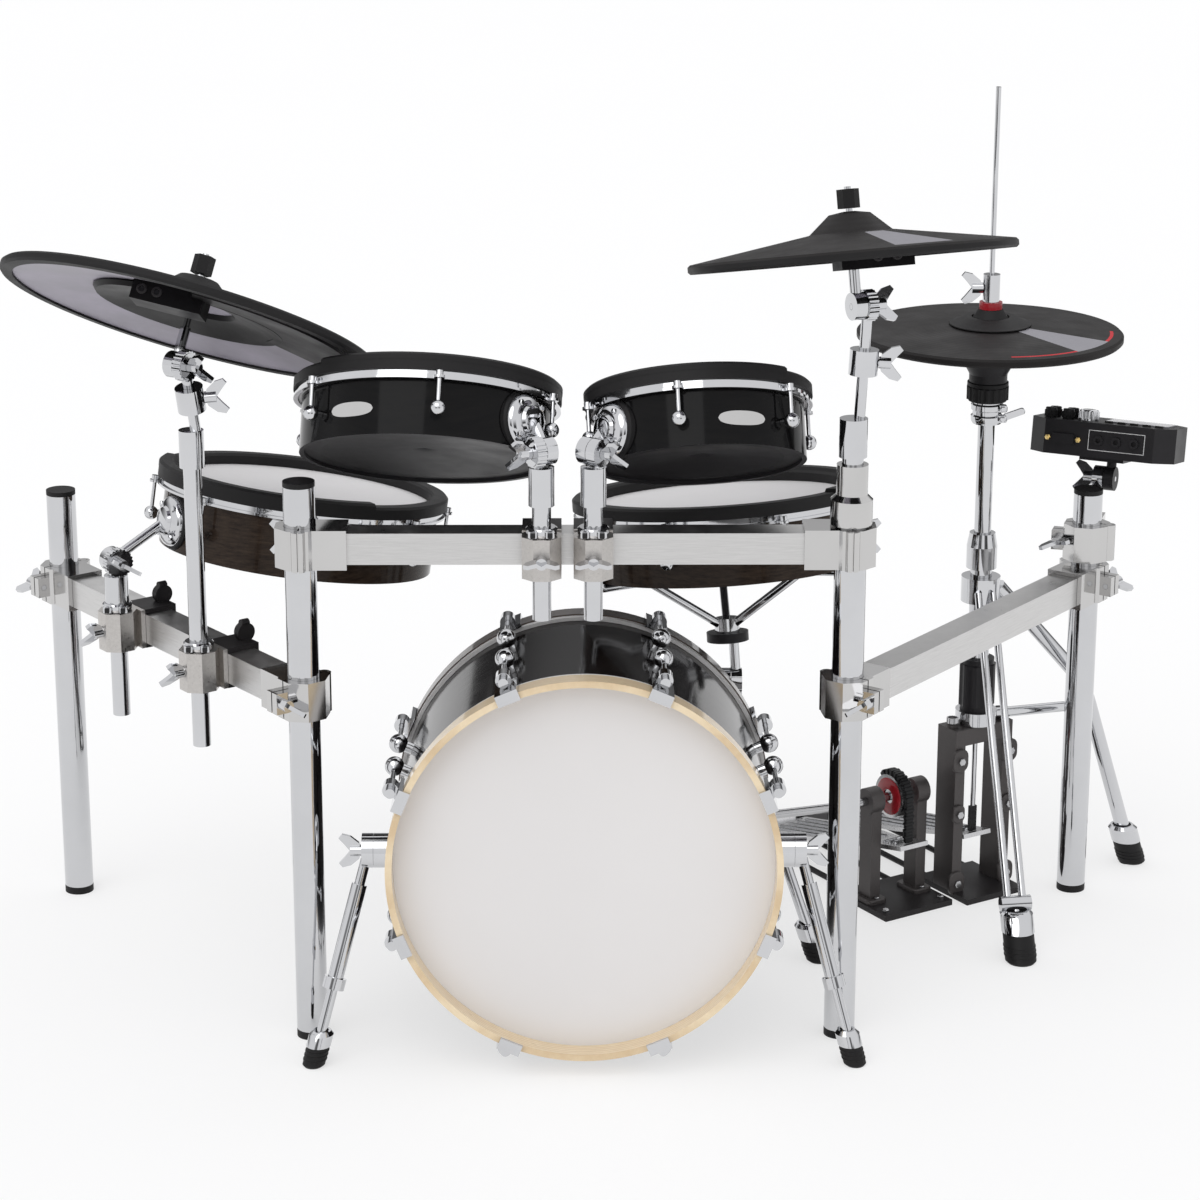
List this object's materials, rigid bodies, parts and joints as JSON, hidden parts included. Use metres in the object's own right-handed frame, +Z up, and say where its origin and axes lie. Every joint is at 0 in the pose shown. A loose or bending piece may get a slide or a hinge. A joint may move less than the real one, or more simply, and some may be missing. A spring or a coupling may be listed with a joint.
{
  "type": "electronic drum kit",
  "caption": "Electronic drum kit: mesh-head drum pads, rubber cymbal pads and a bass drum on a chrome post-and-rail rack, with hi-hat stand, double pedal and sound module.",
  "frame": {"origin": "on the floor, under the middle of the kit's box", "axes": "+X to the right as the audience sees it, +Y towards the drummer, +Z up"},
  "size_m": [1.5576, 0.9652, 1.094],
  "materials": {
    "rack_posts": "polished chrome plate",
    "rack_rails": "satin anodised aluminium",
    "arm_clamps": "satin anodised aluminium",
    "arm_brackets": "black powder coat",
    "left_tom_arm": "polished chrome plate",
    "left_tom_shell": "black gloss lacquer",
    "left_tom_head": "white head",
    "left_tom_hardware": "polished chrome plate",
    "left_tom_rim": "black moulded rubber",
    "right_tom_arm": "polished chrome plate",
    "right_tom_shell": "black gloss lacquer",
    "right_tom_head": "white head",
    "right_tom_hardware": "polished chrome plate",
    "right_tom_rim": "black moulded rubber",
    "floor_tom_arm": "polished chrome plate",
    "floor_tom_shell": "dark bronze gloss lacquer",
    "floor_tom_head": "white head",
    "floor_tom_hardware": "polished chrome plate",
    "floor_tom_rim": "black moulded rubber",
    "snare_shell": "dark bronze gloss lacquer",
    "snare_head": "white head",
    "snare_hardware": "polished chrome plate",
    "snare_rim": "black moulded rubber",
    "snare_basket": "polished chrome plate",
    "snare_stand": "polished chrome plate",
    "bass_shell": "dark gloss lacquer",
    "bass_front_head": "white head",
    "bass_front_hoop": "clear lacquered maple",
    "bass_batter_head": "white head",
    "bass_rear_hoop": "dark lacquer with a thin gold line",
    "left_spur": "polished chrome plate",
    "right_spur": "polished chrome plate",
    "bass_hardware": "polished chrome plate",
    "ride_boom": "polished chrome plate",
    "ride_pad": "black moulded rubber",
    "ride_rod": "polished chrome plate",
    "crash_boom": "polished chrome plate",
    "crash_pad": "black moulded rubber",
    "crash_rod": "polished chrome plate",
    "slave_footboard": "brushed cast aluminium",
    "main_footboard": "brushed cast aluminium",
    "slave_pedal_frame": "black powder coat",
    "slave_axle": "bright turned steel",
    "main_pedal_frame": "black powder coat",
    "main_axle": "bright turned steel",
    "left_beater": "bright turned steel",
    "drive_shaft": "bright turned steel",
    "hihat_footboard": "brushed cast aluminium",
    "hihat_frame": "black powder coat",
    "hihat_stand": "polished chrome plate",
    "hihat_controller": "black moulded plastic",
    "hihat_pad": "black moulded rubber",
    "hihat_rod": "polished chrome plate",
    "module_dial": "bright ring",
    "module_case": "black moulded plastic",
    "module_mount": "polished chrome plate",
    "rail_clamps": "satin anodised aluminium",
    "wing_screws": "polished chrome plate",
    "rubber_feet": "black moulded rubber"
  },
  "bodies": {
    "rack": {"rack_posts": "rack_posts", "rubber_feet": "rubber_feet", "rack_rails": "rack_rails", "rail_clamps": "rail_clamps", "wing_screws": "wing_screws", "arm_clamps": "arm_clamps", "arm_brackets": "arm_brackets", "bass_shell": "bass_shell", "bass_front_hoop": "bass_front_hoop", "bass_rear_hoop": "bass_rear_hoop", "bass_front_head": "bass_front_head", "bass_batter_head": "bass_batter_head", "bass_hardware": "bass_hardware", "snare_stand": "snare_stand", "hihat_stand": "hihat_stand", "hihat_frame": "hihat_frame", "hihat_controller": "hihat_controller", "slave_pedal_frame": "slave_pedal_frame", "main_pedal_frame": "main_pedal_frame", "module_mount": "module_mount"},
    "left_spur": {"left_spur": "left_spur"},
    "right_spur": {"right_spur": "right_spur"},
    "left_tom_arm": {"left_tom_arm": "left_tom_arm"},
    "left_tom": {"left_tom_shell": "left_tom_shell", "left_tom_head": "left_tom_head", "left_tom_hardware": "left_tom_hardware", "left_tom_rim": "left_tom_rim"},
    "right_tom_arm": {"right_tom_arm": "right_tom_arm"},
    "right_tom": {"right_tom_shell": "right_tom_shell", "right_tom_head": "right_tom_head", "right_tom_hardware": "right_tom_hardware", "right_tom_rim": "right_tom_rim"},
    "floor_tom_arm": {"floor_tom_arm": "floor_tom_arm"},
    "floor_tom": {"floor_tom_shell": "floor_tom_shell", "floor_tom_head": "floor_tom_head", "floor_tom_hardware": "floor_tom_hardware", "floor_tom_rim": "floor_tom_rim"},
    "snare": {"snare_basket": "snare_basket", "snare_shell": "snare_shell", "snare_head": "snare_head", "snare_hardware": "snare_hardware", "snare_rim": "snare_rim"},
    "ride_boom": {"ride_boom": "ride_boom"},
    "ride_rod": {"ride_rod": "ride_rod"},
    "ride_pad": {"ride_pad": "ride_pad"},
    "crash_boom": {"crash_boom": "crash_boom"},
    "crash_rod": {"crash_rod": "crash_rod"},
    "crash_pad": {"crash_pad": "crash_pad"},
    "slave_footboard": {"slave_footboard": "slave_footboard"},
    "slave_axle": {"slave_axle": "slave_axle"},
    "main_footboard": {"main_footboard": "main_footboard"},
    "main_axle": {"main_axle": "main_axle"},
    "drive_shaft": {"drive_shaft": "drive_shaft"},
    "left_beater": {"left_beater": "left_beater"},
    "hihat_footboard": {"hihat_footboard": "hihat_footboard"},
    "hihat_rod": {"hihat_rod": "hihat_rod", "hihat_pad": "hihat_pad"},
    "module": {"module_case": "module_case"},
    "module_dial": {"module_dial": "module_dial"}
  },
  "joints": [
    {"name": "left_spur_fold", "type": "hinge", "parent": "rack", "child": "left_spur", "pos_m": [-0.28642, -0.32943, 0.25185], "axis": [1, 0, 0], "range_deg": [-75, 0]},
    {"name": "right_spur_fold", "type": "hinge", "parent": "rack", "child": "right_spur", "pos_m": [0.23318, -0.32943, 0.25185], "axis": [1, 0, 0], "range_deg": [-75, 0]},
    {"name": "left_tom_swivel", "type": "hinge", "parent": "rack", "child": "left_tom_arm", "pos_m": [-0.07612, -0.35056, 0.752], "axis": [0, 0, 1], "range_deg": [-1, 5]},
    {"name": "left_tom_tilt", "type": "hinge", "parent": "left_tom_arm", "child": "left_tom", "pos_m": [-0.07612, -0.35056, 0.752], "axis": [0.875, 0.4841, 0], "range_deg": [-5, 0]},
    {"name": "right_tom_swivel", "type": "hinge", "parent": "rack", "child": "right_tom_arm", "pos_m": [-0.01592, -0.35056, 0.752], "axis": [0, 0, 1], "range_deg": [-8, 3]},
    {"name": "right_tom_tilt", "type": "hinge", "parent": "right_tom_arm", "child": "right_tom", "pos_m": [-0.01592, -0.35056, 0.752], "axis": [-0.7872, 0.6167, 0], "range_deg": [-8, 8]},
    {"name": "floor_tom_swivel", "type": "hinge", "parent": "rack", "child": "floor_tom_arm", "pos_m": [-0.61606, -0.03981, 0.529], "axis": [0, 0, 1], "range_deg": [-10, 10]},
    {"name": "floor_tom_tilt", "type": "hinge", "parent": "floor_tom_arm", "child": "floor_tom", "pos_m": [-0.61606, -0.03981, 0.529], "axis": [-0.5172, 0.8558, 0], "range_deg": [-8, 8]},
    {"name": "snare_tilt", "type": "hinge", "parent": "rack", "child": "snare", "pos_m": [0.1631, 0.00176, 0.35594], "axis": [1, 0, 0], "range_deg": [-10, 10]},
    {"name": "ride_swivel", "type": "hinge", "parent": "rack", "child": "ride_boom", "pos_m": [-0.49628, -0.19998, 0.74], "axis": [0, 0, 1], "range_deg": [0, 15]},
    {"name": "ride_tilt", "type": "hinge", "parent": "ride_boom", "child": "ride_rod", "pos_m": [-0.50384, -0.21948, 0.82359], "axis": [-0.8387, 0.5446, 0], "range_deg": [-10, 0]},
    {"name": "ride_rock", "type": "hinge", "parent": "ride_rod", "child": "ride_pad", "pos_m": [-0.48662, -0.17956, 0.905], "axis": [-0.4819, -0.7421, 0.4659], "range_deg": [-1, 4]},
    {"name": "crash_swivel", "type": "hinge", "parent": "rack", "child": "crash_boom", "pos_m": [0.28738, -0.30456, 0.78], "axis": [0, 0, 1], "range_deg": [-20, 20]},
    {"name": "crash_tilt", "type": "hinge", "parent": "crash_boom", "child": "crash_rod", "pos_m": [0.29398, -0.30492, 0.91335], "axis": [-0.9252, -0.3794, 0], "range_deg": [-10, 10]},
    {"name": "crash_rock", "type": "hinge", "parent": "crash_rod", "child": "crash_pad", "pos_m": [0.27938, -0.28856, 1.003], "axis": [0.3697, -0.9016, 0.2247], "range_deg": [-4, 4]},
    {"name": "slave_pedal", "type": "hinge", "parent": "rack", "child": "slave_footboard", "pos_m": [0.24951, 0.3563, 0.022], "axis": [0.848, 0.5299, 0], "range_deg": [0, 4.8], "stiffness_Nm_per_rad": 40, "springref_deg": -14.32},
    {"name": "slave_axle_turn", "type": "hinge", "parent": "rack", "child": "slave_axle", "pos_m": [0.39152, 0.12902, 0.15], "axis": [0.848, 0.5299, 0], "range_deg": [0, 44.22]},
    {"name": "main_pedal", "type": "hinge", "parent": "rack", "child": "main_footboard", "pos_m": [-0.08662, 0.25944, 0.022], "axis": [1, 0, 0], "range_deg": [0, 4.8], "stiffness_Nm_per_rad": 40, "springref_deg": -14.32},
    {"name": "main_axle_turn", "type": "hinge", "parent": "rack", "child": "main_axle", "pos_m": [-0.08662, -0.00856, 0.15], "axis": [1, 0, 0], "range_deg": [0, 44.22]},
    {"name": "drive_shaft_turn", "type": "hinge", "parent": "rack", "child": "drive_shaft", "pos_m": [0.32716, 0.0888, 0.15], "axis": [-0.9518, -0.3066, 0], "range_deg": [-44.22, 0]},
    {"name": "left_beater_turn", "type": "hinge", "parent": "rack", "child": "left_beater", "pos_m": [0.02488, -0.00856, 0.15], "axis": [1, 0, 0], "range_deg": [0, 44.22]},
    {"name": "hihat_pedal", "type": "hinge", "parent": "rack", "child": "hihat_footboard", "pos_m": [0.3603, 0.40441, 0.022], "axis": [0.848, 0.5299, 0], "range_deg": [0, 3], "stiffness_Nm_per_rad": 60, "springref_deg": -20.05},
    {"name": "hihat_draw", "type": "slide", "parent": "rack", "child": "hihat_rod", "axis": [0, 0, 1], "range_m": [-0.01434, 0]},
    {"name": "module_tilt", "type": "hinge", "parent": "rack", "child": "module", "pos_m": [0.67226, 0.23368, 0.56246], "axis": [0.9135, -0.4067, 0], "range_deg": [-20, 20]},
    {"name": "module_dial_turn", "type": "hinge", "parent": "module", "child": "module_dial", "pos_m": [0.64594, 0.22864, 0.64263], "axis": [0.0706, 0.1586, 0.9848], "continuous": true}
  ],
  "couplings": [
    {"joint": "slave_axle_turn", "follows": "slave_pedal", "ratio": 9.17},
    {"joint": "main_axle_turn", "follows": "main_pedal", "ratio": 9.17},
    {"joint": "drive_shaft_turn", "follows": "slave_pedal", "ratio": -9.17},
    {"joint": "left_beater_turn", "follows": "slave_pedal", "ratio": 9.17},
    {"joint": "hihat_draw", "follows": "hihat_pedal", "m_per_rad": -0.27}
  ]
}
